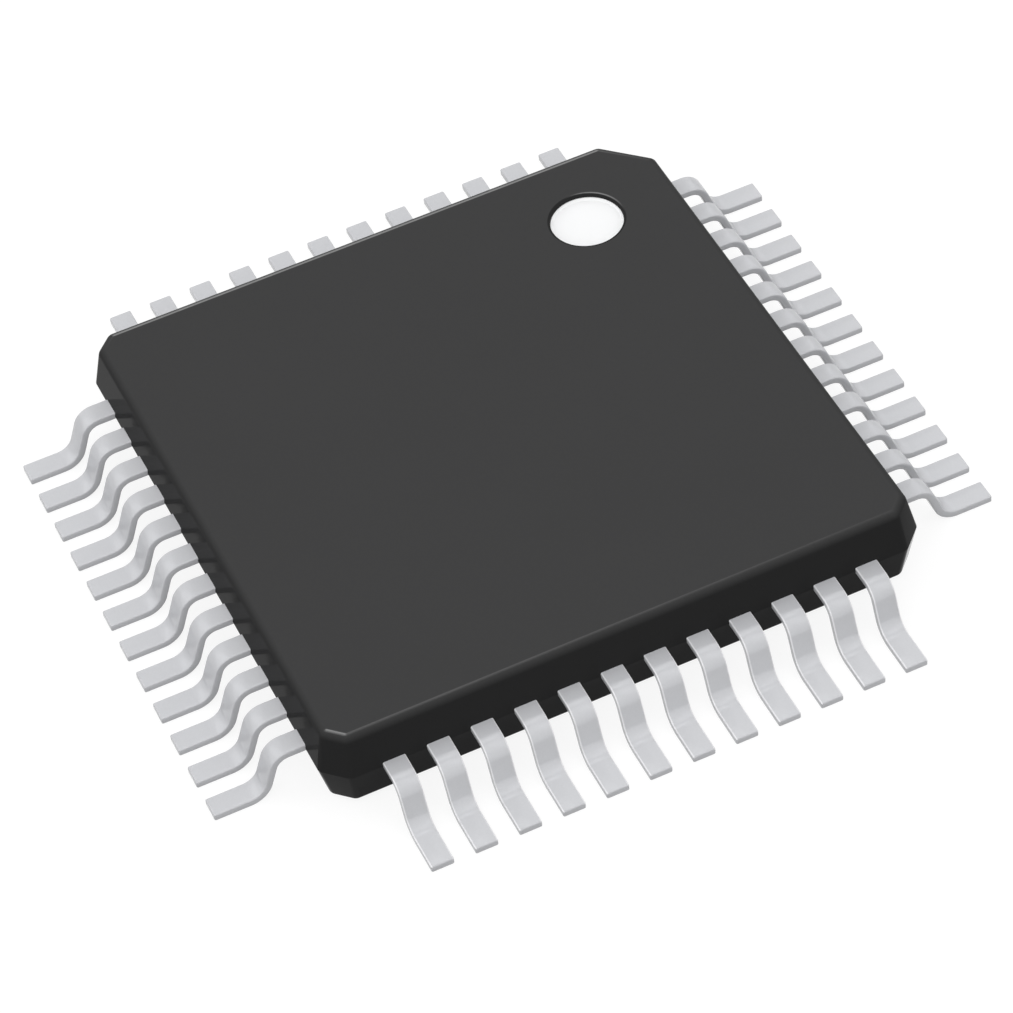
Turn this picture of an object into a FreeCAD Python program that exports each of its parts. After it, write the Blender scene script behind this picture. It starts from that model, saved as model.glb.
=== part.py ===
import FreeCAD, Part
import math
import os
import re
import Sketcher

# Thin quad flat pack: 48 gull-wing leads on four sides of a 7 mm square moulded body, with the
# lead frame, the silicon die, its adhesive and its bond wires inside. Millimetres, +Z up. The
# origin is the middle of the seating plane, which the undersides of all solder feet lie in. The
# index corner is at -X, +Y, and the leads are numbered anticlockwise from it as seen from above.

# Driving dimensions
SIZES = (
    ("row_margin", 0.62),
    ("upper_height", 0.5),
    ("lower_height", 0.5),
    ("stand_off", 0.05),
    ("mould_draft", 12.0),
    ("corner_cut", 0.26),
    ("index_corner_cut", 0.55),
    ("corner_round", 0.10),
    ("edge_round", 0.09),
    ("pit_inset_x", 1.155),
    ("pit_inset_y", 1.225),
    ("pit_diameter", 0.84),
    ("pit_depth", 0.10),
    ("pit_rim_chamfer", 0.025),
    ("ink_thickness", 0.02),
    ("ink_meniscus", 0.03),
    ("leads_per_side", 12.0),
    ("lead_pitch", 0.5),
    ("lead_width", 0.26),
    ("lead_thickness", 0.09),
    ("foot_length", 0.415),
    ("lead_slope", 70.0),
    ("shoulder_length", 0.19),
    ("upper_bend", 0.155),
    ("lower_bend", 0.20),
    ("anchor_length", 0.35),
    ("finger_gap", 0.3),
    ("finger_tip_margin", 0.35),
    ("finger_tip_width", 0.15),
    ("pad_margin", 0.4),
    ("pad_downset", 0.15),
    ("downset_run", 0.12),
    ("tie_bar_width", 0.2),
    ("tie_bar_setback", 0.15),
    ("die_width", 2.6),
    ("die_thickness", 0.2),
    ("adhesive_thickness", 0.02),
    ("adhesive_margin", 0.08),
    ("wire_diameter", 0.025),
    ("wire_rise", 0.11),
    ("wire_inset", 0.1),
    ("wire_margin", 0.255),
    ("stitch_length", 0.08),
    ("stitch_setback", 0.06),
)

# Heights and places that follow from the driving dimensions
DERIVED = (
    ("row_pitches", "leads_per_side - 1"),
    ("body_width", "row_pitches * lead_pitch + lead_width + 2 * row_margin"),
    ("parting_height", "stand_off + lower_height"),
    ("body_top", "parting_height + upper_height"),
    ("lead_top", "parting_height + lead_thickness / 2"),
    ("lead_floor", "parting_height - lead_thickness / 2"),
    ("upper_outer", "upper_bend + lead_thickness"),
    ("lower_outer", "lower_bend + lead_thickness"),
    ("bend_sum", "upper_bend + lower_bend + lead_thickness"),
    ("knee_height", "lead_floor - upper_bend"),
    ("steep_length", "(lead_floor - bend_sum * (1 - cos(lead_slope))) / sin(lead_slope)"),
    ("shoulder_end", "body_width / 2 + shoulder_length"),
    ("foot_start", "shoulder_end + bend_sum * sin(lead_slope) + steep_length * cos(lead_slope)"),
    ("foot_tip", "foot_start + foot_length"),
    ("anchor_end", "body_width / 2 - anchor_length"),
    ("pad_width", "die_width + 2 * pad_margin"),
    ("finger_end", "pad_width / 2 + finger_gap"),
    ("finger_tip_pitch", "2 * (finger_end - finger_tip_margin) / row_pitches"),
    ("wire_pitch", "(die_width - 2 * wire_margin) / row_pitches"),
    ("pad_top", "lead_top - pad_downset"),
    ("pad_floor", "pad_top - lead_thickness"),
    ("die_floor", "pad_top + adhesive_thickness"),
    ("die_top", "die_floor + die_thickness"),
    ("tie_bar_end", "(body_width - index_corner_cut) / sqrt(2) - tie_bar_setback"),
    ("downset_start", "pad_width / sqrt(2) + lead_thickness"),
    ("downset_end", "downset_start + downset_run"),
    ("pit_radius", "pit_diameter / 2"),
    ("pit_floor", "body_top - pit_depth"),
)

SHEET_PREFIX = {alias: "sizes." for alias, _ in SIZES + DERIVED}
SIDES = 4
QUARTER_TURN = 90.0
# Quarter turns that carry a lead of the +X side to the side where the numbering starts
FIRST_SIDE_TURNS = 2
Z_AXIS = FreeCAD.Vector(0, 0, 1)
ORIGIN_POINT = (-1, 1)
LEVEL_TOLERANCE = 1e-6

doc = FreeCAD.newDocument("quad_flat_pack")
sheet = doc.addObject("Spreadsheet::Sheet", "sizes")


def fill_sheet():
    """Write the driving dimensions and the formulas that follow from them."""
    rows = [(alias, repr(number)) for alias, number in SIZES]
    rows += [(alias, "=" + formula) for alias, formula in DERIVED]
    for row, (alias, content) in enumerate(rows, start=1):
        sheet.set("A%d" % row, alias)
        sheet.set("B%d" % row, content)
        sheet.setAlias("B%d" % row, alias)
    doc.recompute()


def size(alias):
    """Present value of a cell of the sheet."""
    return float(sheet.get(alias))


def bound(formula):
    """Formula over the sheet's aliases, rewritten for an object outside the sheet."""
    return re.sub("[a-z_]+", lambda word: SHEET_PREFIX.get(word.group(), "") + word.group(), formula)


def evaluate(formula):
    """Number that a formula over the sheet gives now."""
    return float(sheet.evalExpression(bound(formula)))


def new_body(name):
    """Empty body with its own origin planes."""
    body = doc.addObject("PartDesign::Body", name)
    body.Label = name
    return body


def origin_part(body, role):
    """Plane or axis of a body's own origin."""
    return next(feature for feature in body.Origin.OriginFeatures if feature.Role == role)


def new_sketch(body, name, role, height="0", turn=0.0):
    """Sketch on one of the body's planes, lifted by a formula and turned about the plane's own Y."""
    sketch = body.newObject("Sketcher::SketchObject", name)
    sketch.AttachmentSupport = [(origin_part(body, role), "")]
    sketch.MapMode = "FlatFace"
    rotation = FreeCAD.Rotation(FreeCAD.Vector(0, 1, 0), turn)
    sketch.AttachmentOffset = FreeCAD.Placement(FreeCAD.Vector(0, 0, 0), rotation)
    if height != "0":
        sketch.setExpression("AttachmentOffset.Base.z", bound(height))
    return sketch


def pin_point(sketch, geometry, end, corner):
    """Hold a point of the sketch at a corner given by two formulas."""
    for kind, formula in zip(("DistanceX", "DistanceY"), corner):
        place = evaluate(formula)
        number = sketch.addConstraint(Sketcher.Constraint(kind, *ORIGIN_POINT, geometry, end, place))
        sketch.setExpression("Constraints[%d]" % number, bound(formula))


def draw_outline(sketch, corners, arcs=None):
    """Closed outline through corners given as pairs of formulas.

    arcs maps a corner's number to the centre and radius of the arc that runs on to the next one.
    """
    arcs = arcs or {}
    points = [FreeCAD.Vector(evaluate(x), evaluate(y), 0) for x, y in corners]
    ends = []
    for number, start in enumerate(points):
        stop = points[(number + 1) % len(points)]
        if number not in arcs:
            line = sketch.addGeometry(Part.LineSegment(start, stop), False)
            ends.append((line, 1, 2))
            continue
        centre_x, centre_y, radius = arcs[number]
        centre = FreeCAD.Vector(evaluate(centre_x), evaluate(centre_y), 0)
        outward = ((start + stop) * 0.5 - centre).normalize()
        middle = centre + outward * evaluate(radius)
        arc = sketch.addGeometry(Part.Arc(start, middle, stop), False)
        starts_here = sketch.getPoint(arc, 1).distanceToPoint(start) < LEVEL_TOLERANCE
        ends.append((arc, 1, 2) if starts_here else (arc, 2, 1))
        held = sketch.addConstraint(Sketcher.Constraint("Radius", arc, evaluate(radius)))
        sketch.setExpression("Constraints[%d]" % held, bound(radius))
    for number, (geometry, first, _) in enumerate(ends):
        before, _, last = ends[number - 1]
        sketch.addConstraint(Sketcher.Constraint("Coincident", before, last, geometry, first))
        pin_point(sketch, geometry, first, corners[number])


def draw_circle(sketch, centre, radius):
    """Circle whose centre is a pair of formulas and whose radius is a formula."""
    middle = FreeCAD.Vector(evaluate(centre[0]), evaluate(centre[1]), 0)
    circle = sketch.addGeometry(Part.Circle(middle, Z_AXIS, evaluate(radius)), False)
    held = sketch.addConstraint(Sketcher.Constraint("Radius", circle, evaluate(radius)))
    sketch.setExpression("Constraints[%d]" % held, bound(radius))
    pin_point(sketch, circle, 3, centre)


def pad_sketch(body, sketch, name, length, both_ways=False, downward=False):
    """Pad of a sketch by a formula."""
    pad = body.newObject("PartDesign::Pad", name)
    pad.Profile = sketch
    pad.setExpression("Length", bound(length))
    pad.SideType = "Symmetric" if both_ways else "One side"
    pad.Reversed = downward
    body.Tip = pad
    return pad


def dress_up(body, kind, name, wanted, value, formula):
    """Dress-up feature on every edge or face of the body's last feature that the wanted test picks."""
    doc.recompute()
    base = body.Tip
    word, members = ("Face", base.Shape.Faces) if kind == "Draft" else ("Edge", base.Shape.Edges)
    names = ["%s%d" % (word, number) for number, member in enumerate(members, start=1) if wanted(member)]
    feature = body.newObject("PartDesign::" + kind, name)
    feature.Base = (base, names)
    feature.setExpression(value, bound(formula))
    body.Tip = feature
    return feature


def square(width):
    """Corners of a centred square whose width is a formula."""
    low = "-(%s) / 2" % width
    high = "(%s) / 2" % width
    return ((low, low), (high, low), (high, high), (low, high))


def quarter_turned(corner, turns):
    """Corner formulas turned about the origin by quarter turns."""
    x, y = corner
    for _ in range(turns):
        x, y = "-(%s)" % y, x
    return x, y


def plate(name, width, floor, thickness):
    """Square plate lying on a level."""
    body = new_body(name)
    outline = new_sketch(body, name + "_outline", "XY_Plane", floor)
    draw_outline(outline, square(width))
    pad_sketch(body, outline, name + "_pad", thickness)
    return body


def gull_wing():
    """Outer part of a lead: straight anchor and shoulder, two bends, a steep run and a solder foot."""
    body = new_body("gull_wing")
    profile = new_sketch(body, "gull_wing_profile", "XZ_Plane")
    knee = "shoulder_end + %s * sin(lead_slope)"
    knee_level = "knee_height + %s * cos(lead_slope)"
    heel = "foot_start - %s * sin(lead_slope)"
    heel_level = "lower_outer - %s * cos(lead_slope)"
    corners = (
        ("anchor_end", "lead_floor"),
        ("shoulder_end", "lead_floor"),
        (knee % "upper_bend", knee_level % "upper_bend"),
        (heel % "lower_outer", heel_level % "lower_outer"),
        ("foot_start", "0"),
        ("foot_tip", "0"),
        ("foot_tip", "lead_thickness"),
        ("foot_start", "lead_thickness"),
        (heel % "lower_bend", heel_level % "lower_bend"),
        (knee % "upper_outer", knee_level % "upper_outer"),
        ("shoulder_end", "lead_top"),
        ("anchor_end", "lead_top"),
    )
    arcs = {
        1: ("shoulder_end", "knee_height", "upper_bend"),
        3: ("foot_start", "lower_outer", "lower_outer"),
        7: ("foot_start", "lower_outer", "lower_bend"),
        9: ("shoulder_end", "knee_height", "upper_outer"),
    }
    draw_outline(profile, corners, arcs)
    pad_sketch(body, profile, "gull_wing_pad", "lead_width", both_ways=True)
    return body


def steps_from_middle(place):
    """Number of pitches from the middle of a row to the lead at a place, counted from 0."""
    return place - size("row_pitches") / 2


def lead_number(side, place):
    """Number of a lead from its side, counted from the index corner, and its place there."""
    return side * round(size("leads_per_side")) + place + 1


def copy_of(source, name):
    """Body that starts from another body's finished shape."""
    body = new_body(name)
    base = body.newObject("PartDesign::FeatureBase", name + "_base")
    base.BaseFeature = source
    body.Tip = base
    return body


def master_lead(wing, number, place):
    """Lead of the +X side: a gull wing whose inner finger fans in towards the die pad."""
    name = "lead_%02d" % number
    body = copy_of(wing, name)
    steps = steps_from_middle(place)
    set_in_row(body, steps, 0)
    finger = new_sketch(body, name + "_finger", "XY_Plane", "lead_floor")
    shift = "%r * (finger_tip_pitch - lead_pitch)" % steps
    corners = (
        ("anchor_end", "- lead_width / 2"),
        ("anchor_end", "lead_width / 2"),
        ("finger_end", shift + " + finger_tip_width / 2"),
        ("finger_end", shift + " - finger_tip_width / 2"),
    )
    draw_outline(finger, corners)
    pad_sketch(body, finger, name + "_finger_pad", "lead_thickness")
    return body


def set_in_row(body, steps, turns):
    """Move a lead to its step of the +X row and carry it round by quarter turns to its own side."""
    turned = FreeCAD.Rotation(Z_AXIS, turns * QUARTER_TURN)
    body.Placement = FreeCAD.Placement(FreeCAD.Vector(0, 0, 0), turned)
    x, y = quarter_turned(("0", "%r * lead_pitch" % steps), turns)
    body.setExpression("Placement.Base.x", bound(x))
    body.setExpression("Placement.Base.y", bound(y))


def make_leads():
    """All leads in the order of their numbers: one side in full and its copies on the others."""
    wing = gull_wing()
    leads = {}
    for place in range(round(size("leads_per_side"))):
        number = lead_number(FIRST_SIDE_TURNS, place)
        leads[number] = master_lead(wing, number, place)
        master = leads[number]
        for side in range(SIDES):
            if side != FIRST_SIDE_TURNS:
                copy_number = lead_number(side, place)
                leads[copy_number] = copy_of(master, "lead_%02d" % copy_number)
                turns = (side + FIRST_SIDE_TURNS) % SIDES
                set_in_row(leads[copy_number], steps_from_middle(place), turns)
    return [leads[number] for number in sorted(leads)]


def make_die_pad():
    """Downset pad of the lead frame with four bent tie bars that run out to the corners."""
    body = plate("die_pad", "pad_width", "pad_floor", "lead_thickness")
    profile = new_sketch(body, "tie_bar_profile", "XZ_Plane", turn=QUARTER_TURN / 2)
    corners = (
        ("pad_width / 2", "pad_floor"),
        ("downset_start", "pad_floor"),
        ("downset_end", "lead_floor"),
        ("tie_bar_end", "lead_floor"),
        ("tie_bar_end", "lead_top"),
        ("downset_end", "lead_top"),
        ("downset_start", "pad_top"),
        ("pad_width / 2", "pad_top"),
    )
    draw_outline(profile, corners)
    bar = pad_sketch(body, profile, "tie_bar", "tie_bar_width", both_ways=True)
    pattern = body.newObject("PartDesign::PolarPattern", "tie_bars")
    pattern.Originals = [bar]
    pattern.Axis = (origin_part(body, "Z_Axis"), [""])
    pattern.Angle = 360
    pattern.Occurrences = SIDES
    body.Tip = pattern
    return body


def wire_route():
    """Outline of a bond wire in its own upright plane, along its run and above the die."""
    thick = size("wire_diameter")
    rise = size("wire_rise")
    drop = size("die_top") - size("lead_top")
    bond = size("die_width") / 2 - size("wire_inset")
    landing = size("finger_end") + size("stitch_setback") + size("stitch_length")
    return thick, rise, drop, bond, landing


def bond_wire(steps):
    """Wire of the +X side: up from the die, over in one slope and tapering flat onto its finger."""
    thick, rise, drop, bond, landing = wire_route()
    start = FreeCAD.Vector(bond, steps * size("wire_pitch"), size("die_top"))
    stop = FreeCAD.Vector(landing, steps * size("finger_tip_pitch"), size("die_top"))
    run = (stop - start).normalize()
    length = (stop - start).Length
    touch_down = length - size("stitch_length")
    outline = (
        (-thick / 2, 0),
        (thick / 2, 0),
        (thick / 2, rise - thick),
        (touch_down, -drop),
        (length, -drop),
        (length, thick / 2 - drop),
        (-thick / 2, rise),
    )
    across = Z_AXIS.cross(run)
    points = [start + run * along + Z_AXIS * up - across * (thick / 2) for along, up in outline]
    face = Part.Face(Part.makePolygon(points + points[:1]))
    return face.extrude(across * thick)


def make_bond_wires():
    """One wire from the die to every finger, as separate solids in one piece of work."""
    wires = []
    for place in range(round(size("leads_per_side"))):
        wire = bond_wire(steps_from_middle(place))
        for side in range(SIDES):
            turned = wire.copy()
            turned.rotate(FreeCAD.Vector(0, 0, 0), Z_AXIS, side * QUARTER_TURN)
            wires.append(turned)
    feature = doc.addObject("Part::Feature", "bond_wires")
    feature.Shape = Part.makeCompound(wires)
    feature.Placement = FreeCAD.Placement()
    return feature


def parting_outline():
    """Corners of the moulded body at the parting plane: a square with four corners cut off."""
    half = "body_width / 2"
    corners = []
    for turn in range(SIDES):
        cut = "index_corner_cut" if turn == 1 else "corner_cut"
        ahead = ("%s" % half, "%s - %s" % (half, cut))
        behind = ("%s - %s" % (half, cut), "%s" % half)
        corners += [quarter_turned(ahead, turn), quarter_turned(behind, turn)]
    return corners


def is_level(edge, height):
    """True for an edge that lies in a level plane at the height."""
    return all(abs(vertex.Z - height) < LEVEL_TOLERANCE for vertex in edge.Vertexes)


def is_corner_edge(edge):
    """True for an edge that climbs between two levels."""
    return abs(edge.Vertexes[0].Z - edge.Vertexes[-1].Z) > LEVEL_TOLERANCE


def is_wall(face, reaches):
    """True for an upright face that reaches a level."""
    upright = abs(face.normalAt(0, 0).z) < LEVEL_TOLERANCE
    return upright and any(abs(vertex.Z - reaches) < LEVEL_TOLERANCE for vertex in face.Vertexes)


def mould_half(body, outline, parting, name, height, end, downward):
    """Half of the moulded body, padded from the parting plane and drafted to leave the mould."""
    pad_sketch(body, outline, name, height, downward=downward)
    level = size(end)
    draft = dress_up(body, "Draft", name + "_draft", lambda face: is_wall(face, level),
                     "Angle", "mould_draft")
    draft.NeutralPlane = (parting, [""])
    draft.Reversed = downward


def mould_form():
    """Outer form of the moulded body: two drafted halves, rounded edges and the index pit."""
    body = new_body("mould_form")
    parting = body.newObject("PartDesign::Plane", "parting_plane")
    parting.AttachmentSupport = [(origin_part(body, "XY_Plane"), "")]
    parting.MapMode = "FlatFace"
    parting.setExpression("AttachmentOffset.Base.z", bound("parting_height"))
    outline = new_sketch(body, "parting_outline", "XY_Plane", "parting_height")
    draw_outline(outline, parting_outline())
    mould_half(body, outline, parting, "upper_half", "upper_height", "body_top", False)
    mould_half(body, outline, parting, "lower_half", "lower_height", "stand_off", True)
    dress_up(body, "Fillet", "corner_rounds", is_corner_edge, "Radius", "corner_round")
    top = size("body_top")
    floor = size("stand_off")
    dress_up(body, "Fillet", "face_rounds", lambda edge: is_level(edge, top) or is_level(edge, floor),
             "Radius", "edge_round")
    before = body.Tip
    pit = new_sketch(body, "pit_outline", "XY_Plane", "body_top")
    draw_circle(pit, ("pit_inset_x - body_width / 2", "body_width / 2 - pit_inset_y"), "pit_radius")
    pocket = body.newObject("PartDesign::Pocket", "index_pit")
    pocket.Profile = pit
    pocket.setExpression("Length", bound("pit_depth"))
    body.Tip = pocket
    doc.recompute()
    removed = before.Shape.Volume - pocket.Shape.Volume
    if abs(removed - math.pi * size("pit_radius") ** 2 * size("pit_depth")) > LEVEL_TOLERANCE:
        raise RuntimeError("the index pit points out of the body")
    rim = 2 * math.pi * size("pit_radius")
    dress_up(body, "Chamfer", "pit_rim",
             lambda edge: is_level(edge, top) and abs(edge.Length - rim) < LEVEL_TOLERANCE,
             "Size", "pit_rim_chamfer")
    return body


def make_ink_dot():
    """Ink in the index pit: a thin film that climbs a little way up the pit's wall."""
    body = new_body("index_dot")
    body.setExpression("Placement.Base.x", bound("pit_inset_x - body_width / 2"))
    body.setExpression("Placement.Base.y", bound("body_width / 2 - pit_inset_y"))
    body.setExpression("Placement.Base.z", bound("pit_floor"))
    profile = new_sketch(body, "ink_profile", "XZ_Plane")
    corners = (
        ("0", "0"),
        ("pit_radius", "0"),
        ("pit_radius", "ink_thickness + ink_meniscus"),
        ("pit_radius - ink_meniscus", "ink_thickness"),
        ("0", "ink_thickness"),
    )
    draw_outline(profile, corners)
    turn = body.newObject("PartDesign::Revolution", "ink_film")
    turn.Profile = profile
    turn.ReferenceAxis = (profile, ["V_Axis"])
    turn.Angle = 360
    body.Tip = turn
    return body


def make_mould_body(inner_pieces):
    """Moulded body, with the space of every piece that it is moulded round taken out."""
    cores = doc.addObject("Part::MultiFuse", "moulded_in")
    cores.Shapes = inner_pieces
    cores.Refine = False
    form = mould_form()
    mould = doc.addObject("Part::Cut", "mould_body")
    mould.Label = "mould_body"
    mould.Base = form
    mould.Tool = cores
    mould.Refine = False
    return mould


def check_document():
    """Stop on any failed object."""
    for item in doc.Objects:
        if "Invalid" in item.State or "Error" in item.State:
            raise RuntimeError("%s failed: %s" % (item.Name, item.State))


def check_shape(piece, solids):
    """Stop on a missing or faulty shape or a wrong number of solids."""
    shape = piece.Shape
    if shape.isNull() or not shape.isValid():
        raise RuntimeError("%s has no valid shape" % piece.Label)
    if len(shape.Solids) != solids:
        raise RuntimeError("%s has %d solids" % (piece.Label, len(shape.Solids)))


def main():
    """Build, check and write every piece."""
    fill_sheet()
    leads = make_leads()
    die_pad = make_die_pad()
    adhesive = plate("die_adhesive", "die_width + 2 * adhesive_margin", "pad_top", "adhesive_thickness")
    die = plate("silicon_die", "die_width", "die_floor", "die_thickness")
    wires = make_bond_wires()
    doc.recompute()
    mould = make_mould_body(leads + [die_pad, adhesive, die, wires])
    dot = make_ink_dot()
    doc.recompute()
    check_document()
    pieces = [mould, dot] + leads + [die_pad, adhesive, die, wires]
    for piece in pieces:
        check_shape(piece, len(leads) if piece is wires else 1)
    os.makedirs("parts", exist_ok=True)
    for piece in pieces:
        piece.Shape.exportStep("parts/%s.step" % piece.Label)
    print("pieces %d, volume %.3f mm3" % (len(pieces), sum(piece.Shape.Volume for piece in pieces)))


main()
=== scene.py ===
import logging
import math
from dataclasses import dataclass
from enum import Enum
from typing import Sequence

import bmesh
import bpy
from mathutils import Matrix, Vector


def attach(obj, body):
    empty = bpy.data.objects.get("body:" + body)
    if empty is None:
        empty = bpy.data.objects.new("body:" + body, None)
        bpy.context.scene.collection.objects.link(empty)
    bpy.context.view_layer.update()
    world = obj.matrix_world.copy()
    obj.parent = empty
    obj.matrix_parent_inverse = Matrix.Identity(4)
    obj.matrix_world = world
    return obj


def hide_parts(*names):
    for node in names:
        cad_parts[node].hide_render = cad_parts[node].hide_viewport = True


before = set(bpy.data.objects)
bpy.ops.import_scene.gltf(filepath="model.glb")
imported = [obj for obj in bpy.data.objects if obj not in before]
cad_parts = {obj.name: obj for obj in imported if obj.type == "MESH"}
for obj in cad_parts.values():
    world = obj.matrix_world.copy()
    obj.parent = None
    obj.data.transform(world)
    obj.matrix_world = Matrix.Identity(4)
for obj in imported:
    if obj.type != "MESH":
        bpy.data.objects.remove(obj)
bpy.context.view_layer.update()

# Looks of a thin quad flat pack chip: a matt black moulded body with a white index dot and
# 48 tin-plated gull-wing leads. The front row of leads is on +X, and the index corner is
# between -X and +Y. Sizes are written in millimetres, and MM turns them into metres.

MM = 0.001
BODY = "root"
LOG = logging.getLogger("chip")
GRAIN_DETAIL = 3.0
GRAIN_ROUGHNESS = 0.6
MOTTLE_DETAIL = 2.0
FLAT_FACE_WEIGHT = 100
Colour = tuple[float, float, float]
Flat = tuple[float, float]
Way = tuple[float, float, float]


class Side(Enum):
    """Side of the body that a row of leads leaves, as quarter turns from the +X side."""

    FRONT = 0
    RIGHT = 1
    BACK = 2
    LEFT = 3


class Grain(Enum):
    """Fine grain of a surface, as its number of cells per metre."""

    SPARKED = 26000.0
    PLATED = 42000.0
    BRUSHED = 15000.0
    DRIED = 18000.0


# Node helpers


def new_node(tree: bpy.types.NodeTree, kind: str, **values: object) -> bpy.types.Node:
    """Add a node and set some of its properties.

    Args:
        tree: Node tree that the node goes in.
        kind: Type name of the node.
        values: Properties of the node, by name.

    Returns:
        The new node.
    """
    node = tree.nodes.new(kind)
    for name, value in values.items():
        setattr(node, name, value)
    return node


def new_group(name: str, inputs: dict[str, float], outputs: Sequence[str]) -> bpy.types.NodeTree:
    """Make an empty shader node group with number sockets.

    Args:
        name: Name of the group.
        inputs: Default value of each input, by name.
        outputs: Names of the outputs.

    Returns:
        The group's node tree, with its input and output nodes in place.
    """
    tree = bpy.data.node_groups.new(name, "ShaderNodeTree")
    for label, default in inputs.items():
        socket = tree.interface.new_socket(label, in_out="INPUT", socket_type="NodeSocketFloat")
        socket.default_value = default
    for label in outputs:
        tree.interface.new_socket(label, in_out="OUTPUT", socket_type="NodeSocketFloat")
    new_node(tree, "NodeGroupInput", name="in")
    new_node(tree, "NodeGroupOutput", name="out")
    return tree


def math_node(tree: bpy.types.NodeTree, operation: str, first: object,
              second: object) -> bpy.types.NodeSocket:
    """Add a math node fed by sockets or plain numbers.

    Args:
        tree: Node tree that the node goes in.
        operation: Name of the math operation.
        first: Socket or number for the first input.
        second: Socket or number for the second input.

    Returns:
        The node's output socket.
    """
    node = new_node(tree, "ShaderNodeMath", operation=operation)
    for number, value in enumerate((first, second)):
        if isinstance(value, bpy.types.NodeSocket):
            tree.links.new(value, node.inputs[number])
        else:
            node.inputs[number].default_value = value
    return node.outputs[0]


def grey(level: float) -> tuple[float, float, float, float]:
    """Grey of one level, as a colour socket takes it."""
    return (level, level, level, 1.0)


def build_grain_group() -> bpy.types.NodeTree:
    """Fine grain of a surface: a height and a soft mottling, both from the object's own place.

    Returns:
        Node group with inputs Scale, Stretch and Mottle Scale, and outputs Height and Mottle.
    """
    tree = new_group("fine_grain", {"Scale": 20000.0, "Stretch": 1.0, "Mottle Scale": 700.0},
                     ("Height", "Mottle"))
    source = tree.nodes["in"]
    place = new_node(tree, "ShaderNodeTexCoord")
    stretch = new_node(tree, "ShaderNodeCombineXYZ")
    tree.links.new(source.outputs["Stretch"], stretch.inputs["X"])
    stretch.inputs["Y"].default_value = 1.0
    stretch.inputs["Z"].default_value = 1.0
    scaled = new_node(tree, "ShaderNodeVectorMath", operation="MULTIPLY")
    tree.links.new(place.outputs["Object"], scaled.inputs[0])
    tree.links.new(stretch.outputs["Vector"], scaled.inputs[1])
    grain = new_node(tree, "ShaderNodeTexNoise")
    grain.inputs["Detail"].default_value = GRAIN_DETAIL
    grain.inputs["Roughness"].default_value = GRAIN_ROUGHNESS
    tree.links.new(scaled.outputs["Vector"], grain.inputs["Vector"])
    tree.links.new(source.outputs["Scale"], grain.inputs["Scale"])
    mottle = new_node(tree, "ShaderNodeTexNoise")
    mottle.inputs["Detail"].default_value = MOTTLE_DETAIL
    tree.links.new(place.outputs["Object"], mottle.inputs["Vector"])
    tree.links.new(source.outputs["Mottle Scale"], mottle.inputs["Scale"])
    tree.links.new(grain.outputs["Fac"], tree.nodes["out"].inputs["Height"])
    tree.links.new(mottle.outputs["Fac"], tree.nodes["out"].inputs["Mottle"])
    return tree


def build_highlight_group() -> bpy.types.NodeTree:
    """Painted highlight along edges: the mesh's edge mask, broken up a little by a noise.

    Returns:
        Node group with inputs Amount, Break Up and Scale, and one output with the painted highlight's
        strength.
    """
    tree = new_group("edge_highlights", {"Amount": 1.0, "Break Up": 0.3, "Scale": 4000.0}, ("PaintedHighlight",))
    source = tree.nodes["in"]
    mask = new_node(tree, "ShaderNodeAttribute", attribute_name="edge")
    place = new_node(tree, "ShaderNodeTexCoord")
    noise = new_node(tree, "ShaderNodeTexNoise")
    tree.links.new(place.outputs["Object"], noise.inputs["Vector"])
    tree.links.new(source.outputs["Scale"], noise.inputs["Scale"])
    loss = math_node(tree, "MULTIPLY", noise.outputs["Fac"], source.outputs["Break Up"])
    kept = math_node(tree, "SUBTRACT", 1.0, loss)
    broken = math_node(tree, "MULTIPLY", mask.outputs["Fac"], kept)
    painted_highlight = math_node(tree, "MULTIPLY", broken, source.outputs["Amount"])
    tree.links.new(painted_highlight, tree.nodes["out"].inputs["PaintedHighlight"])
    return tree


# Finishes


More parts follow.
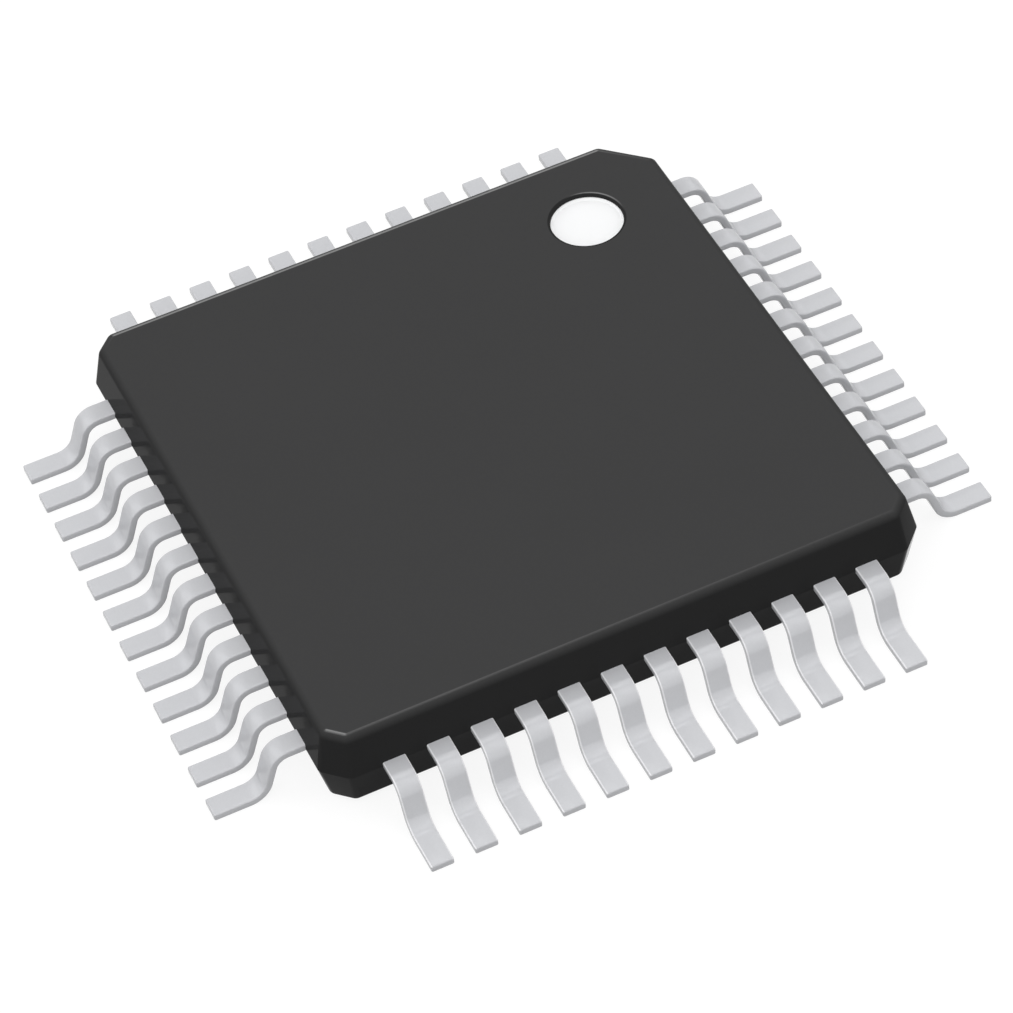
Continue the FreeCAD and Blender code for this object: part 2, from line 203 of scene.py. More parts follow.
@dataclass(frozen=True)
class Finish:
    """Surface with a fine grain, a soft mottling and a painted highlight along its edges.

    The same fields serve every material of the chip, each with its own values.
    """

    name: str
    colour: Colour
    grain: Grain
    roughness: float = 0.4
    roughness_spread: float = 0.08
    mottle_share: float = 0.06
    grain_share: float = 0.04
    mottle_scale: float = 700.0
    stretch: float = 1.0
    bump_height: float = 0.0004
    # Painted highlight: a lighter colour mixed into the base colour along edges, its share, and a coat of
    # gloss under the same mask.
    highlight_colour: Colour = (1.0, 1.0, 1.0)
    highlight_share: float = 0.0
    edge_coat: float = 0.0
    metallic: float = 0.0
    ior: float = 1.5

    def build(self, grain: bpy.types.NodeTree, painted_highlight: bpy.types.NodeTree) -> bpy.types.Material:
        """Make the material.

        Args:
            grain: Node group of the fine grain.
            painted_highlight: Node group of the painted edge highlight.

        Returns:
            The finished material.
        """
        material = bpy.data.materials.new(self.name)
        material.use_nodes = True
        material.diffuse_color = (*self.colour, 1.0)
        tree = material.node_tree
        shader = tree.nodes["Principled BSDF"]
        shader.inputs["Metallic"].default_value = self.metallic
        shader.inputs["IOR"].default_value = self.ior
        fine = new_node(tree, "ShaderNodeGroup", node_tree=grain)
        fine.inputs["Scale"].default_value = self.grain.value
        fine.inputs["Stretch"].default_value = self.stretch
        fine.inputs["Mottle Scale"].default_value = self.mottle_scale
        polish = new_node(tree, "ShaderNodeGroup", node_tree=painted_highlight)
        polish.inputs["Amount"].default_value = self.highlight_share
        self.colour_nodes(tree, fine, polish, shader)
        # A coat of gloss follows the painted highlight's mask.
        if self.edge_coat:
            gain = self.edge_coat / self.highlight_share
            gloss = math_node(tree, "MULTIPLY", polish.outputs["PaintedHighlight"], gain)
            tree.links.new(math_node(tree, "MINIMUM", gloss, 1.0), shader.inputs["Coat Weight"])
        spread = math_node(tree, "MULTIPLY", fine.outputs["Mottle"], self.roughness_spread)
        rough = math_node(tree, "ADD", spread, self.roughness - self.roughness_spread / 2)
        tree.links.new(self.rough_socket(tree, rough), shader.inputs["Roughness"])
        bump = new_node(tree, "ShaderNodeBump")
        bump.inputs["Strength"].default_value = 1.0
        bump.inputs["Distance"].default_value = self.bump_height * MM
        tree.links.new(fine.outputs["Height"], bump.inputs["Height"])
        tree.links.new(bump.outputs["Normal"], shader.inputs["Normal"])
        return material

    def rough_socket(self, tree: bpy.types.NodeTree, rough: bpy.types.NodeSocket) -> bpy.types.NodeSocket:
        """Roughness as it is, for a surface of one finish."""
        return rough

    def tone_socket(self, tree: bpy.types.NodeTree, tone: bpy.types.NodeSocket) -> bpy.types.NodeSocket:
        """Lightness as it is, for a surface of one finish."""
        return tone

    def colour_nodes(self, tree: bpy.types.NodeTree, fine: bpy.types.Node, polish: bpy.types.Node,
                     shader: bpy.types.Node) -> None:
        """Feed the base colour from the plain colour, the mottling, the grain and the painted edge
        highlight.

        Args:
            tree: The material's node tree.
            fine: Group node of the fine grain.
            polish: Group node of the painted edge highlight.
            shader: The material's shader node.
        """
        mottle = math_node(tree, "MULTIPLY", fine.outputs["Mottle"], self.mottle_share)
        grain = math_node(tree, "MULTIPLY", fine.outputs["Height"], self.grain_share)
        both = math_node(tree, "ADD", mottle, grain)
        level = math_node(tree, "ADD", both, 1.0 - (self.mottle_share + self.grain_share) / 2)
        tinted = new_node(tree, "ShaderNodeVectorMath", operation="SCALE")
        tinted.inputs[0].default_value = self.colour
        tree.links.new(self.tone_socket(tree, level), tinted.inputs["Scale"])
        # Painted highlight: the edge colour is mixed into the base colour along the edges.
        mix = new_node(tree, "ShaderNodeMix", data_type="RGBA", blend_type="MIX")
        tree.links.new(polish.outputs["PaintedHighlight"], mix.inputs["Factor"])
        tree.links.new(tinted.outputs["Vector"], mix.inputs["A"])
        mix.inputs["B"].default_value = (*self.highlight_colour, 1.0)
        tree.links.new(mix.outputs["Result"], shader.inputs["Base Color"])


@dataclass(frozen=True)
class MouldFinish(Finish):
    """Mould compound with matt, spark-eroded flat faces and smoother draft walls, and painted light and
    shade: the flat faces lighter, the walls darker.

    A mesh attribute for the spark finish and its painted light is 1 on the flat faces, 0 on the walls,
    and fades over the rounded edges, which paints shade there.
    """

    # Painted light: the flat faces' colour is the walls' colour times this gain; the face roughness is
    # the real finish.
    lit_face_gain: float = 1.0
    face_roughness: float = 0.4

    def between(self, tree: bpy.types.NodeTree, wall: bpy.types.NodeSocket, face: float,
                gain: float) -> bpy.types.NodeSocket:
        """Go from the walls' value to the flat faces' value, by the mesh attribute.

        Args:
            tree: The material's node tree.
            wall: Socket with the value on the walls.
            face: Number added on the flat faces.
            gain: Factor on the flat faces.

        Returns:
            Socket with the value anywhere on the body.
        """
        # The attribute carries the spark finish and the painted light of the flat faces.
        mask = new_node(tree, "ShaderNodeAttribute", attribute_name="sparked_and_lit")
        scaled = math_node(tree, "MULTIPLY", wall, gain)
        mix = new_node(tree, "ShaderNodeMix", data_type="FLOAT")
        tree.links.new(mask.outputs["Fac"], mix.inputs["Factor"])
        tree.links.new(wall, mix.inputs["A"])
        tree.links.new(math_node(tree, "ADD", scaled, face), mix.inputs["B"])
        return mix.outputs["Result"]

    def rough_socket(self, tree: bpy.types.NodeTree, rough: bpy.types.NodeSocket) -> bpy.types.NodeSocket:
        """Roughness of the walls, and more of it on the flat faces."""
        return self.between(tree, rough, self.face_roughness - self.roughness, 1.0)

    def tone_socket(self, tree: bpy.types.NodeTree, tone: bpy.types.NodeSocket) -> bpy.types.NodeSocket:
        """Lightness of the walls, raised on the flat faces as painted light."""
        return self.between(tree, tone, 0.0, self.lit_face_gain)


# The mould compound paints a highlight along the rounded edges, and paints its flat faces lighter than
# its shaded walls.
MOULD_COMPOUND = MouldFinish(
    "mould_compound", (0.0235, 0.0235, 0.0237), Grain.SPARKED, roughness=0.10, roughness_spread=0.04,
    mottle_share=0.05, grain_share=0.08, bump_height=0.00015, highlight_colour=(0.20, 0.20, 0.20),
    highlight_share=0.25, edge_coat=0.8, ior=1.07, lit_face_gain=2.23, face_roughness=0.34)
# The plating's near-white edge colour is a painted highlight along the leads' top edges.
TIN_PLATING = Finish(
    "tin_plating", (0.594, 0.600, 0.622), Grain.PLATED, roughness=0.12, roughness_spread=0.05,
    mottle_share=0.06, grain_share=0.08, bump_height=0.0003, highlight_colour=(0.95, 0.95, 0.97),
    highlight_share=1.0, metallic=0.05, ior=1.35)
WHITE_INK = Finish("white_ink", (0.95, 0.955, 0.96), Grain.DRIED, roughness=0.35, mottle_share=0.03,
                   grain_share=0.02, bump_height=0.0008)
FRAME_COPPER = Finish("frame_copper", (0.72, 0.43, 0.30), Grain.BRUSHED, roughness=0.35, stretch=0.15,
                      metallic=1.0)
SILVER_ADHESIVE = Finish("silver_adhesive", (0.55, 0.55, 0.53), Grain.DRIED, roughness=0.6,
                         grain_share=0.2)
SILICON = Finish("silicon", (0.16, 0.18, 0.23), Grain.BRUSHED, roughness=0.12, bump_height=0.0001)
GOLD_WIRE = Finish("gold_wire", (0.95, 0.70, 0.30), Grain.BRUSHED, roughness=0.2, stretch=0.2,
                   metallic=1.0)


# Mesh helpers


def rounded_outline(corners: Sequence[Flat], inset: float, radius: float,
                    steps: int) -> list[tuple[float, float, int, float]]:
    """Convex outline moved inwards and rounded at its corners.

    Args:
        corners: Corners in anticlockwise order.
        inset: How far every side moves inwards.
        radius: Radius at the corners.
        steps: Number of steps of each rounded corner.

    Returns:
        Place of each point of the outline, in the same order, with the number of its corner and the
        share of that corner's turn that is behind it.
    """
    count = len(corners)
    normals = []
    for number, (x, y) in enumerate(corners):
        far_x, far_y = corners[(number + 1) % count]
        length = math.hypot(far_x - x, far_y - y)
        normals.append(Vector(((far_y - y) / length, -(far_x - x) / length)))
    points = []
    for number, corner in enumerate(corners):
        before, after = normals[number - 1], normals[number]
        spread = 1.0 + before.dot(after)
        middle = Vector(corner) - (before + after) * ((inset + radius) / spread)
        start = math.atan2(before.y, before.x)
        turn = math.acos(max(-1.0, min(1.0, before.dot(after))))
        for step in range(steps + 1):
            share = step / steps
            angle = start + turn * share
            x = middle.x + radius * math.cos(angle)
            y = middle.y + radius * math.sin(angle)
            points.append((x, y, number, share))
    return points


def level_circle(bm: bmesh.types.BMesh, centre: Flat, radius: float, height: float,
                 steps: int) -> list[bmesh.types.BMVert]:
    """Add the vertices of a level circle.

    Args:
        bm: Mesh that is being built.
        centre: Middle of the circle, in millimetres.
        radius: Radius in millimetres.
        height: Height in millimetres.
        steps: Number of vertices.

    Returns:
        The new vertices in anticlockwise order, from the +X side.
    """
    ring = []
    for step in range(steps):
        angle = 2 * math.pi * step / steps
        x = centre[0] + radius * math.cos(angle)
        y = centre[1] + radius * math.sin(angle)
        ring.append(bm.verts.new((x * MM, y * MM, height * MM)))
    return ring


def bridge(bm: bmesh.types.BMesh, lower: Sequence[bmesh.types.BMVert],
           upper: Sequence[bmesh.types.BMVert]) -> None:
    """Join two closed rings of equal length by quads.

    Args:
        bm: Mesh that is being built.
        lower: Vertices of the first ring, anticlockwise about the outward side.
        upper: Vertices of the ring that follows it.
    """
    for number in range(len(lower)):
        ahead = (number + 1) % len(lower)
        bm.faces.new((lower[number], lower[ahead], upper[ahead], upper[number]))


def piece_from(bm: bmesh.types.BMesh, name: str, material: bpy.types.Material) -> bpy.types.Object:
    """Turn a built mesh into an object with smooth faces and area-weighted normals.

    Args:
        bm: The built mesh, which is freed.
        name: Name of the new object.
        material: Its material.

    Returns:
        The new object, in the scene.
    """
    for face in bm.faces:
        face.smooth = True
    mesh = bpy.data.meshes.new(name)
    bm.to_mesh(mesh)
    bm.free()
    mesh.materials.append(material)
    piece = bpy.data.objects.new(name, mesh)
    bpy.context.scene.collection.objects.link(piece)
    weighted = piece.modifiers.new("flat_faces_first", "WEIGHTED_NORMAL")
    weighted.keep_sharp = True
    weighted.weight = FLAT_FACE_WEIGHT
    return piece


def seat(piece: bpy.types.Object, nodes: Sequence[str]) -> None:
    """Hang a piece on the body, in place of its CAD nodes.

    Args:
        piece: The visual piece.
        nodes: CAD nodes that it stands for.
    """
    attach(piece, BODY)
    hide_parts(*nodes)
    LOG.info("seated %s", piece.name)


# Sub-assemblies


@dataclass
class MouldBody:
    """Moulded body: two drafted halves, rounded edges, four cut corners and a marking pit.

    The rounded edge carries a painted highlight, stronger on some sides. Its strength is given where each
    of the eight sides begins and where it ends, anticlockwise from the +X side, which begins at the -Y
    end. The pit's rim carries a painted highlight, brightest at one place of its circle.
    """

    half_width: float = 3.5
    parting_height: float = 0.55
    half_height: float = 0.5
    draft: float = math.radians(12.0)
    corner_cut: float = 0.26
    index_corner: int = 1
    index_corner_cut: float = 0.55
    corner_round: float = 0.10
    least_round: float = 0.015
    edge_round: float = 0.09
    # Painted highlight strength at the start and the end of each side.
    edge_highlights: tuple[Flat, ...] = ((0.80, 0.15), (0.05, 0.0), (0.0, 0.0), (0.2, 0.7),
                                     (4.0, 4.0), (0.2, 0.0), (0.0, 0.0), (4.5, 4.5))
    highlight_steps: float = 1.5
    pit_centre: Flat = (-2.345, 2.275)
    pit_radius: float = 0.42
    pit_depth: float = 0.10
    rim_round: float = 0.025
    rim_steps: int = 3
    # Painted highlight on the pit's rim: its strength, the angle where it is brightest, and how fast it
    # fades.
    rim_highlight: float = 4.0
    rim_highlight_way: float = math.radians(134.0)
    rim_highlight_fade: float = 6.0
    support: float = 0.012
    corner_steps: int = 6
    edge_steps: int = 8
    pit_steps: int = 96

    @property
    def top(self) -> float:
        """Height of the top face."""
        return self.parting_height + self.half_height

    @property
    def pit_floor(self) -> float:
        """Height of the marking pit's floor."""
        return self.top - self.pit_depth

    def corners(self) -> list[Flat]:
        """Work out the body's outline at the parting plane.

        Returns:
            Corners of the outline, anticlockwise from the +X side.
        """
        half = self.half_width
        found: list[Flat] = []
        for turn in range(len(Side)):
            cut = self.index_corner_cut if turn == self.index_corner else self.corner_cut
            for x, y in ((half, half - cut), (half - cut, half)):
                for _ in range(turn):
                    x, y = -y, x
                found.append((x, y))
        return found

    def profile(self) -> list[tuple[float, float, float, float, float]]:
        """Rings of one half from the parting plane outwards.

        Returns:
            Inset, distance from the parting plane, corner radius, painted highlight mask, and share of
            the spark finish with its painted light, of each ring.
        """
        slope = math.tan(self.draft)
        tangent = self.edge_round * math.tan((math.pi / 2 - self.draft) / 2)
        inner = self.half_height * slope + tangent
        rings = [(0.0, 0.0, self.corner_round, 0.0, 0.0)]
        for step in range(self.edge_steps + 1):
            angle = self.draft + (math.pi / 2 - self.draft) * step / self.edge_steps
            inset = inner - self.edge_round * math.cos(angle)
            rise = self.half_height - self.edge_round * (1 - math.sin(angle))
            radius = max(self.corner_round - (inset - rise * slope), self.least_round)
            # Painted highlight mask, strongest next to the flat face; the spark share grows over the
            # rounded edge, which paints shade on it.
            mask = max(0.0, 1.0 - (self.edge_steps - step) / self.highlight_steps)
            rings.append((inset, rise, radius, mask, step / self.edge_steps))
        rings.append((inner + self.support, self.half_height, self.least_round, 0.0, 1.0))
        return rings

    def polish(self, corner: int, share: float) -> float:
        """Work out how strong the painted highlight on the rounded edge is at a corner.

        Args:
            corner: Number of the corner, which ends the side of the same number.
            share: Share of the corner's turn that is behind the point.

        Returns:
            Factor for the painted highlight mask.
        """
        before = self.edge_highlights[corner][1]
        after = self.edge_highlights[(corner + 1) % len(self.edge_highlights)][0]
        return before * (1 - share) + after * share

    def add_ring(self, bm: bmesh.types.BMesh, inset: float, height: float, radius: float, mask: float,
                 spark_and_lit: float) -> list[bmesh.types.BMVert]:
        """Add the vertices of one ring.

        Args:
            bm: Mesh that is being built.
            inset: How far the ring lies inside the parting outline, in millimetres.
            height: Its height, in millimetres.
            radius: Its corner radius, in millimetres.
            mask: Painted highlight mask of its vertices.
            spark_and_lit: How much of the flat faces' spark finish and painted light it has.

        Returns:
            The new vertices in anticlockwise order.
        """
        edge, sparked_and_lit = bm.verts.layers.float["edge"], bm.verts.layers.float["sparked_and_lit"]
        ring = []
        for x, y, corner, share in rounded_outline(self.corners(), inset, radius, self.corner_steps):
            vert = bm.verts.new((x * MM, y * MM, height * MM))
            vert[edge] = mask * self.polish(corner, share)
            vert[sparked_and_lit] = spark_and_lit
            ring.append(vert)
        return ring

    def add_circle(self, bm: bmesh.types.BMesh, radius: float, height: float, mask: float,
                   flat: bool) -> list[bmesh.types.BMVert]:
        """Add a circle about the pit's axis.

        Args:
            bm: Mesh that is being built.
            radius: Radius in millimetres.
            height: Height in millimetres.
            mask: Painted highlight mask at its brightest place, which fades out to both sides.
            flat: Whether it lies on the spark-eroded top face, which is painted lighter.

        Returns:
            The new vertices in anticlockwise order.
        """
        edge, sparked_and_lit = bm.verts.layers.float["edge"], bm.verts.layers.float["sparked_and_lit"]
        circle = level_circle(bm, self.pit_centre, radius, height, self.pit_steps)
        for step, vert in enumerate(circle):
            # The rim's painted highlight is brightest at one angle and fades to both sides.
            facing = math.cos(2 * math.pi * step / self.pit_steps - self.rim_highlight_way)
            vert[edge] = mask * max(0.0, facing) ** self.rim_highlight_fade
            vert[sparked_and_lit] = float(flat)
        return circle

    def add_pit(self, bm: bmesh.types.BMesh, outer: Sequence[bmesh.types.BMVert]) -> None:
        """Close the top face round the marking pit and add the pit's rim, wall and floor.

        Args:
            bm: Mesh that is being built.
            outer: Last ring of the upper half.
        """
        guard = self.pit_radius + self.rim_round + self.support
        circles = [self.add_circle(bm, guard, self.top, 0.0, True)]
        for step in range(self.rim_steps + 1):
            angle = math.pi / 2 * (1 - step / self.rim_steps)
            radius = self.pit_radius + self.rim_round * (1 - math.cos(angle))
            height = self.top - self.rim_round * (1 - math.sin(angle))
            # Only the rim's outer circle carries the painted highlight.
            mask = self.rim_highlight if step == 0 else 0.0
            circles.append(self.add_circle(bm, radius, height, mask, False))
        circles.append(self.add_circle(bm, self.pit_radius, self.pit_floor, 0.0, False))
        edges = []
        for ring in (outer, circles[0]):
            for number in range(len(ring)):
                ends = (ring[number - 1], ring[number])
                edges.append(bm.edges.get(ends) or bm.edges.new(ends))
        bmesh.ops.triangle_fill(bm, use_beauty=True, use_dissolve=False, edges=edges,
                                normal=(0.0, 0.0, 1.0))
        for upper, lower in zip(circles, circles[1:]):
            bridge(bm, upper, lower)
        bm.faces.new(circles[-1])

    def build(self, material: bpy.types.Material) -> bpy.types.Object:
        """Make the moulded body's mesh.

        Args:
            material: Finish of the mould compound.

        Returns:
            The new piece.
        """
        bm = bmesh.new()
        bm.verts.layers.float.new("edge")
        bm.verts.layers.float.new("sparked_and_lit")
        profile = self.profile()
        lower = [self.add_ring(bm, inset, self.parting_height - rise, radius, mask, spark_and_lit)
                 for inset, rise, radius, mask, spark_and_lit in reversed(profile)]
        upper = [self.add_ring(bm, inset, self.parting_height + rise, radius, mask, spark_and_lit)
                 for inset, rise, radius, mask, spark_and_lit in profile[1:]]
        rings = lower + upper
        for below, above in zip(rings, rings[1:]):
            bridge(bm, below, above)
        bm.faces.new(list(reversed(rings[0])))
        self.add_pit(bm, rings[-1])
        parting = lower[-1]
        for number in range(len(parting)):
            bm.edges.get((parting[number - 1], parting[number])).smooth = False
        bmesh.ops.recalc_face_normals(bm, faces=bm.faces)
        return piece_from(bm, "moulded_body", material)


@dataclass
class IndexDot:
    """White ink in the marking pit, which climbs a little way up the pit's wall."""

    body: MouldBody
    clearance: float = 0.0002
    thickness: float = 0.02
    meniscus: float = 0.03
    curl_steps: int = 6
    curl_power: float = 1.5

    def outline(self) -> list[Flat]:
        """Work out the ink's section from the pit's floor up its wall and down the curl.

        Returns:
            Radius and height of each ring.
        """
        radius = self.body.pit_radius - self.clearance
        film = self.body.pit_floor + self.thickness
        points = [(radius, self.body.pit_floor), (radius, film + self.meniscus)]
        for step in range(1, self.curl_steps + 1):
            curl = math.sin(math.pi / 2 * step / self.curl_steps)
            points.append((radius - self.meniscus * curl,
                           film + self.meniscus * (1 - curl) ** self.curl_power))
        return points

    def build(self, material: bpy.types.Material) -> bpy.types.Object:
        """Make the ink's mesh.

        Args:
            material: Finish of the ink.

        Returns:
            The new piece.
        """
        bm = bmesh.new()
        rings = [level_circle(bm, self.body.pit_centre, radius, height, self.body.pit_steps)
                 for radius, height in self.outline()]
        for below, above in zip(rings, rings[1:]):
            bridge(bm, below, above)
        bm.faces.new(list(reversed(rings[0])))
        bm.faces.new(rings[-1])
        bmesh.ops.recalc_face_normals(bm, faces=bm.faces)
        return piece_from(bm, "index_ink", material)


@dataclass
class Lead:
    """One lead: inner finger, anchor, shoulder, two bends, a steep run and a solder foot."""

    number: int
    side: Side
    steps_from_middle: float
    body: MouldBody
    # Strength of the painted highlight along the lead's top edges.
    polish: float
    pitch: float = 0.5
    width: float = 0.26
    thickness: float = 0.09
    slope: float = math.radians(70.0)
    finger_end: float = 2.0
    finger_tip_pitch: float = 0.3
    finger_tip_width: float = 0.15
    anchor_length: float = 0.35
    root_depth: float = 0.05
    shoulder_length: float = 0.19
    upper_bend: float = 0.2
    lower_bend: float = 0.245
    foot_length: float = 0.415
    edge_round: float = 0.018
    least_round: float = 0.002
    bend_steps: int = 12
    round_steps: int = 3

    @property
    def shoulder_end(self) -> float:
        """Distance out at which the level shoulder ends and the upper bend begins."""
        return self.body.half_width + self.shoulder_length

    @property
    def foot_start(self) -> float:
        """Distance out at which the lower bend ends and the flat foot begins.

        Returns:
            Distance from the body's middle, in millimetres.
        """
        bends = self.upper_bend + self.lower_bend
        drop = self.body.parting_height - self.thickness / 2
        steep = (drop - bends * (1 - math.cos(self.slope))) / math.sin(self.slope)
        return self.shoulder_end + bends * math.sin(self.slope) + steep * math.cos(self.slope)

    def stations(self) -> list[tuple[float, float, float, float, float, float]]:
        """Places along the lead where its section is set.

        Returns:
            Distance out, height, slope angle, sideways shift, half width and inset of each section.
        """
        half = self.width / 2
        high = self.body.parting_height
        low = self.thickness / 2
        shift = self.steps_from_middle * (self.finger_tip_pitch - self.pitch)
        found = [(self.finger_end, high, 0.0, shift, self.finger_tip_width / 2, 0.0),
                 (self.body.half_width - self.anchor_length, high, 0.0, 0.0, half, 0.0),
                 (self.body.half_width - self.root_depth, high, 0.0, 0.0, half, 0.0)]
        for step in range(self.bend_steps + 1):
            angle = self.slope * step / self.bend_steps
            out = self.shoulder_end + self.upper_bend * math.sin(angle)
            found.append((out, high - self.upper_bend * (1 - math.cos(angle)), angle, 0.0, half, 0.0))
        for step in range(self.bend_steps + 1):
            angle = self.slope * (1 - step / self.bend_steps)
            out = self.foot_start - self.lower_bend * math.sin(angle)
            found.append((out, low + self.lower_bend * (1 - math.cos(angle)), angle, 0.0, half, 0.0))
        for step in range(self.round_steps + 1):
            angle = math.pi / 2 * step / self.round_steps
            out = self.foot_start + self.foot_length - self.edge_round * (1 - math.sin(angle))
            found.append((out, low, 0.0, 0.0, half, self.edge_round * (1 - math.cos(angle))))
        return found

    def section(self, half_width: float, inset: float) -> list[tuple[float, float, float]]:
        """Rounded rectangle of the lead's section.

        Args:
            half_width: Half of the section's width.
            inset: How far the whole section shrinks, for the rounded tip.

        Returns:
            Sideways place, height above the middle and painted highlight mask of each point.
        """
        wide = half_width - inset
        tall = self.thickness / 2 - inset
        radius = max(self.edge_round - inset, self.least_round)
        points = []
        for corner, (sign_y, sign_z) in enumerate(((1, -1), (1, 1), (-1, 1), (-1, -1))):
            start = -math.pi / 2 + corner * math.pi / 2
            for step in range(self.round_steps + 1):
                angle = start + math.pi / 2 * step / self.round_steps
                # Painted highlight on the rounded top edges.
                mask = self.polish if sign_z > 0 and 0 < step < self.round_steps else 0.0
                points.append((sign_y * (wide - radius) + radius * math.cos(angle),
                               sign_z * (tall - radius) + radius * math.sin(angle), mask))
        return points

    def build(self, material: bpy.types.Material) -> bpy.types.Object:
        """Make the lead's mesh in its place.

        Args:
            material: Finish of the plating.

        Returns:
            The new piece.
        """
        bm = bmesh.new()
        layer = bm.verts.layers.float.new("edge")
        turn = Matrix.Rotation(self.side.value * math.pi / 2, 3, "Z")
        rings = []
        for out, height, angle, shift, half_width, inset in self.stations():
            ring = []
            for across, above, mask in self.section(half_width, inset):
                place = Vector((out + above * math.sin(angle),
                                self.steps_from_middle * self.pitch + shift + across,
                                height + above * math.cos(angle)))
                vert = bm.verts.new(turn @ place * MM)
                vert[layer] = mask
                ring.append(vert)
            rings.append(ring)
        for behind, ahead in zip(rings, rings[1:]):
            bridge(bm, behind, ahead)
        bm.faces.new(list(reversed(rings[0])))
        bm.faces.new(rings[-1])
        bmesh.ops.recalc_face_normals(bm, faces=bm.faces)
        return piece_from(bm, "plated_lead_%02d" % self.number, material)


@dataclass
class LeadFrame:
    """The four rows of leads."""

    body: MouldBody
    leads_per_side: int = 12
    first_side: Side = Side.BACK
    # Painted highlight strength on the leads' top edges, for each side by its number; the front row
    # carries it.
    edge_highlights: tuple[float, ...] = (1.0, 0.05, 0.05, 0.05)

    def leads(self) -> list[Lead]:
        """Place every lead of the four rows.

        Returns:
            The leads, numbered anticlockwise from the index corner as seen from above.
        """
        found = []
        for row in range(len(Side)):
            side = Side((self.first_side.value + row) % len(Side))
            for place in range(self.leads_per_side):
                number = row * self.leads_per_side + place + 1
                steps = place - (self.leads_per_side - 1) / 2
                found.append(Lead(number, side, steps, self.body, self.edge_highlights[side.value]))
        return found

    def build(self, material: bpy.types.Material) -> int:
        """Make all leads and seat them on their nodes.

        Args:
            material: Finish of the plating.

        Returns:
            Number of leads made.
        """
        leads = self.leads()
        for lead in leads:
            seat(lead.build(material), ["lead_%02d" % lead.number])
        return len(leads)


@dataclass
class SealedParts:
    """The parts that the compound seals in, which keep their CAD shapes."""

    finishes: tuple[tuple[str, Finish], ...] = (
        ("die_pad", FRAME_COPPER),
        ("die_adhesive", SILVER_ADHESIVE),
        ("silicon_die", SILICON),
        ("bond_wires", GOLD_WIRE),
    )

    def dress(self, grain: bpy.types.NodeTree, painted_highlight: bpy.types.NodeTree) -> None:
        """Give each sealed node its material.

        Args:
            grain: Node group of the fine grain.
            painted_highlight: Node group of the painted edge highlight.
        """
        for node, finish in self.finishes:
            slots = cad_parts[node].data.materials
            slots.clear()
            slots.append(finish.build(grain, painted_highlight))
            LOG.info("dressed %s", node)


# Studio


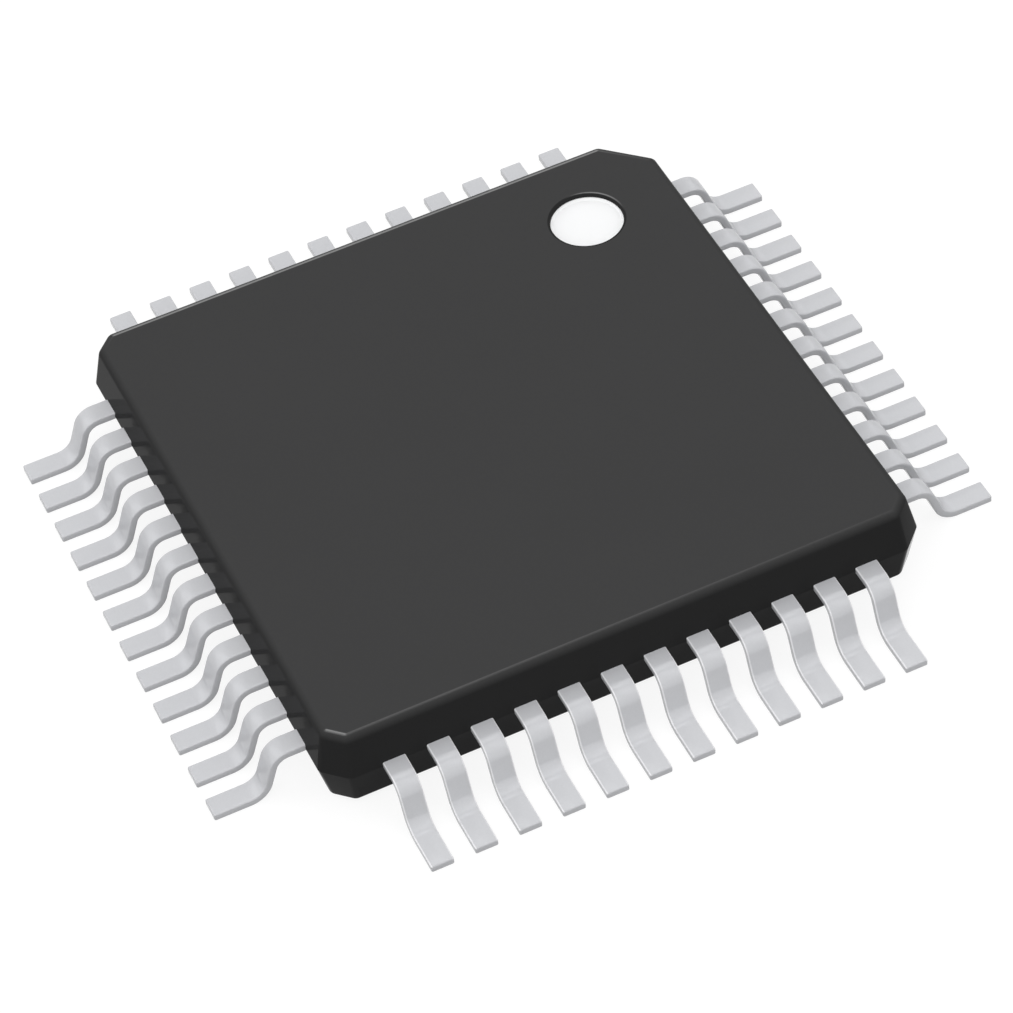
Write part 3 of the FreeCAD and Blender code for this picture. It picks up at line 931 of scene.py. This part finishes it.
@dataclass
class Studio:
    """Pale floor, a faint even dome and soft lamps, stronger on the two sides near the camera."""

    floor_half: float = 600.0
    floor_seen: float = 0.18
    floor_glow: float = 0.86
    floor_bounce: float = 0.25
    dome_light: float = 0.12
    key_way: Way = (-0.30, 0.10, 0.95)
    key_strength: float = 0.06
    key_spread: float = math.radians(18.0)
    near_ways: tuple[Way, ...] = ((0.77, 0.0, 0.64), (0.0, -0.77, 0.64))
    far_ways: tuple[Way, ...] = ((-0.77, 0.0, 0.64), (0.0, 0.77, 0.64))
    near_strength: float = 1.27
    far_strength: float = 0.83
    fill_spread: float = math.radians(90.0)

    def seen_directly(self, tree: bpy.types.NodeTree) -> bpy.types.NodeSocket:
        """Mask of what the camera sees directly, or by gloss, or through glass.

        Args:
            tree: Node tree that the nodes go in.

        Returns:
            Socket that is 1 for those rays and 0 for soft light.
        """
        path = new_node(tree, "ShaderNodeLightPath")
        seen = math_node(tree, "MAXIMUM", path.outputs["Is Camera Ray"], path.outputs["Is Glossy Ray"])
        return math_node(tree, "MAXIMUM", seen, path.outputs["Is Transmission Ray"])

    def floor_material(self) -> bpy.types.Material:
        """Make the floor's material: white to the camera and shiny surfaces, dimmer to soft light.

        Returns:
            The finished material.
        """
        material = bpy.data.materials.new("pale_floor")
        material.use_nodes = True
        tree = material.node_tree
        shader = tree.nodes["Principled BSDF"]
        shader.inputs["Roughness"].default_value = 1.0
        shader.inputs["Specular IOR Level"].default_value = 0.0
        seen = self.seen_directly(tree)
        mix = new_node(tree, "ShaderNodeMix", data_type="RGBA")
        tree.links.new(seen, mix.inputs["Factor"])
        mix.inputs["A"].default_value = grey(self.floor_bounce)
        mix.inputs["B"].default_value = grey(self.floor_seen)
        tree.links.new(mix.outputs["Result"], shader.inputs["Base Color"])
        shader.inputs["Emission Color"].default_value = grey(1.0)
        glow = math_node(tree, "MULTIPLY", seen, self.floor_glow)
        tree.links.new(glow, shader.inputs["Emission Strength"])
        return material

    def add_floor(self) -> None:
        """Add the floor that the solder feet stand on."""
        mesh = bpy.data.meshes.new("floor")
        half = self.floor_half * MM
        corners = [(-half, -half, 0.0), (half, -half, 0.0), (half, half, 0.0), (-half, half, 0.0)]
        mesh.from_pydata(corners, [], [(0, 1, 2, 3)])
        mesh.materials.append(self.floor_material())
        floor = bpy.data.objects.new("floor", mesh)
        bpy.context.scene.collection.objects.link(floor)

    def add_dome(self) -> None:
        """Light the scene faintly from all sides, and show white to the camera and shiny surfaces."""
        world = bpy.data.worlds.new("soft_dome")
        bpy.context.scene.world = world
        world.use_nodes = True
        tree = world.node_tree
        light = tree.nodes["Background"]
        light.inputs["Color"].default_value = grey(1.0)
        mix = new_node(tree, "ShaderNodeMix", data_type="FLOAT")
        tree.links.new(self.seen_directly(tree), mix.inputs["Factor"])
        mix.inputs["A"].default_value = self.dome_light
        mix.inputs["B"].default_value = 1.0
        tree.links.new(mix.outputs["Result"], light.inputs["Strength"])

    def add_lamp(self, name: str, way: Way, strength: float, spread: float, shadow: bool) -> None:
        """Add one far, soft lamp.

        Args:
            name: Name of the lamp.
            way: Direction from the object to the lamp.
            strength: Strength of its light.
            spread: Angle that the lamp fills as seen from the object.
            shadow: Whether it casts shadows.
        """
        lamp = bpy.data.lights.new(name, "SUN")
        lamp.energy = strength
        lamp.angle = spread
        lamp.use_shadow = shadow
        holder = bpy.data.objects.new(name, lamp)
        holder.rotation_euler = Vector(way).normalized().to_track_quat("Z", "Y").to_euler()
        bpy.context.scene.collection.objects.link(holder)

    def build(self) -> None:
        """Set up the floor, the dome, the key lamp and the fill lamps."""
        self.add_floor()
        self.add_dome()
        self.add_lamp("key_lamp", self.key_way, self.key_strength, self.key_spread, True)
        for number, way in enumerate(self.near_ways, 1):
            self.add_lamp("near_fill_%d" % number, way, self.near_strength, self.fill_spread, False)
        for number, way in enumerate(self.far_ways, 1):
            self.add_lamp("far_fill_%d" % number, way, self.far_strength, self.fill_spread, False)
        bpy.context.scene.view_settings.view_transform = "Standard"


@dataclass
class PhotoCamera:
    """Camera at the photograph's viewing angle, from the fit of the body and the leads."""

    azimuth: float = math.radians(70.85)
    elevation: float = math.radians(46.85)
    roll: float = math.radians(-7.613)
    distance: float = 48.88
    shift_right: float = 0.04323
    shift_up: float = -0.2347
    focal_pixels: float = 4413.0
    image_pixels: float = 1013.0
    sensor: float = 36.0
    nearest: float = 1.0
    farthest: float = 10000.0

    def build(self) -> None:
        """Make the camera and hand it to the scene."""
        level = math.cos(self.elevation)
        right = Vector((math.cos(self.azimuth), math.sin(self.azimuth), 0.0))
        back = Vector((math.sin(self.azimuth) * level, -math.cos(self.azimuth) * level,
                       math.sin(self.elevation)))
        up = back.cross(right)
        place = (back * self.distance + right * self.shift_right + up * self.shift_up) * MM
        rolled_right = right * math.cos(self.roll) + up * math.sin(self.roll)
        rolled_up = up * math.cos(self.roll) - right * math.sin(self.roll)
        turn = Matrix((rolled_right, rolled_up, back)).transposed().to_4x4()
        data = bpy.data.cameras.new("photo_camera")
        data.sensor_width = self.sensor
        data.lens = self.focal_pixels * self.sensor / self.image_pixels
        data.clip_start = self.nearest * MM
        data.clip_end = self.farthest * MM
        camera = bpy.data.objects.new("photo_camera", data)
        camera.matrix_world = Matrix.Translation(place) @ turn
        bpy.context.scene.collection.objects.link(camera)
        bpy.context.scene.camera = camera


def main() -> None:
    """Build the studio, the camera and every piece of the chip, in order."""
    logging.basicConfig(level=logging.INFO, format="%(message)s")
    PhotoCamera().build()
    Studio().build()
    LOG.info("set up the studio and the camera")
    grain = build_grain_group()
    painted_highlight = build_highlight_group()
    body = MouldBody()
    seat(body.build(MOULD_COMPOUND.build(grain, painted_highlight)), ["mould_body"])
    seat(IndexDot(body).build(WHITE_INK.build(grain, painted_highlight)), ["index_dot"])
    count = LeadFrame(body).build(TIN_PLATING.build(grain, painted_highlight))
    LOG.info("built %d leads", count)
    SealedParts().dress(grain, painted_highlight)


if __name__ == "__main__":
    main()
